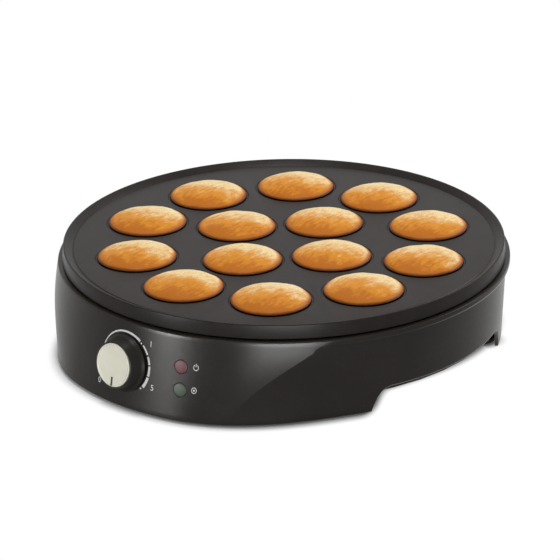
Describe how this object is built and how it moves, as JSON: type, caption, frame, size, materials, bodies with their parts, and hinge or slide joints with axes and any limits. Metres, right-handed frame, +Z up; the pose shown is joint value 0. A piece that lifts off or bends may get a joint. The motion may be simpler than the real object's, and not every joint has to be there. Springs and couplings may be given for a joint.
{
  "type": "pancake pop maker",
  "caption": "Round black countertop cooker with a grey plate of domed wells holding small pancakes, over a drum housing whose leaning front panel carries a pale knob.",
  "frame": {"origin": "on the table, in the middle of the bounding box; the drum's axis is 9.1 mm behind it", "axes": "+Z up, -Y out of the front where the knob is, +X to the right of someone facing the knob"},
  "size_m": [0.3058, 0.3238, 0.0735],
  "materials": {
    "black_plastic": "black moulded heat-resistant plastic, satin, on the housing, cover, legs and knob",
    "nonstick": "cast aluminium with a dark grey non-stick coat, satin",
    "cream_metal": "pale warm-grey face of the knob, satin",
    "pointer_black": "black pointer line",
    "steel": "bright steel sheet and turned parts",
    "element_sheath": "dark sheathed heating element, matt",
    "ceramic": "off-white unglazed ceramic",
    "brown_moulding": "dark brown thermoset moulding",
    "foot_rubber": "black rubber",
    "lens_red": "dark red translucent lens",
    "lens_green": "dark green translucent lens",
    "wire_sleeve": "red heat-resistant sleeve",
    "pancake": "golden brown cooked batter, paler on top, darker round the rim"
  },
  "bodies": {
    "base": {"base_housing": "black_plastic", "bottom_cover": "black_plastic", "seat_ring": "black_plastic", "front_left_leg": "black_plastic", "front_right_leg": "black_plastic", "rear_left_leg": "black_plastic", "rear_right_leg": "black_plastic", "front_left_foot_pad": "foot_rubber", "front_right_foot_pad": "foot_rubber", "rear_left_foot_pad": "foot_rubber", "rear_right_foot_pad": "foot_rubber", "cover_screw_1": "steel", "cover_screw_2": "steel", "cover_screw_3": "steel", "cover_screw_4": "steel", "heat_reflector": "steel", "heating_element": "element_sheath", "element_clamp_1": "steel", "element_clamp_2": "steel", "element_clamp_3": "steel", "element_clamp_4": "steel", "element_bush_left": "ceramic", "element_bush_right": "ceramic", "plate_sensor": "steel", "sensor_capillary": "steel", "thermal_fuse": "steel", "terminal_block": "ceramic", "wire_block_to_fuse": "wire_sleeve", "wire_fuse_to_element": "wire_sleeve", "wire_block_to_thermostat": "wire_sleeve", "wire_thermostat_to_element": "wire_sleeve", "thermostat_bracket": "steel", "thermostat_body": "brown_moulding", "power_lens": "lens_red", "ready_lens": "lens_green", "power_lamp": "ceramic", "ready_lamp": "ceramic", "cord_inlet": "foot_rubber"},
    "knob": {"knob_body": "black_plastic", "knob_face": "cream_metal", "knob_pointer": "pointer_black", "thermostat_shaft": "steel"},
    "plate": {"cooking_plate": "nonstick"},
    "pancakes": {"pancake_01": "pancake", "pancake_02": "pancake", "pancake_03": "pancake", "pancake_04": "pancake", "pancake_05": "pancake", "pancake_06": "pancake", "pancake_07": "pancake", "pancake_08": "pancake", "pancake_09": "pancake", "pancake_10": "pancake", "pancake_11": "pancake", "pancake_12": "pancake", "pancake_13": "pancake", "pancake_14": "pancake"}
  },
  "joints": [
    {"name": "knob_turn", "type": "hinge", "parent": "base", "child": "knob", "pos_m": [0.00522, -0.14828, 0.0313], "axis": [-0.0327, 0.9861, -0.1628], "range_deg": [0, 305]},
    {"name": "plate_lift", "type": "slide", "parent": "base", "child": "plate", "axis": [0, 0, 1], "range_m": [0, 0.12]},
    {"name": "pancakes_lift", "type": "slide", "parent": "plate", "child": "pancakes", "axis": [0, 0, 1], "range_m": [0, 0.05]}
  ]
}
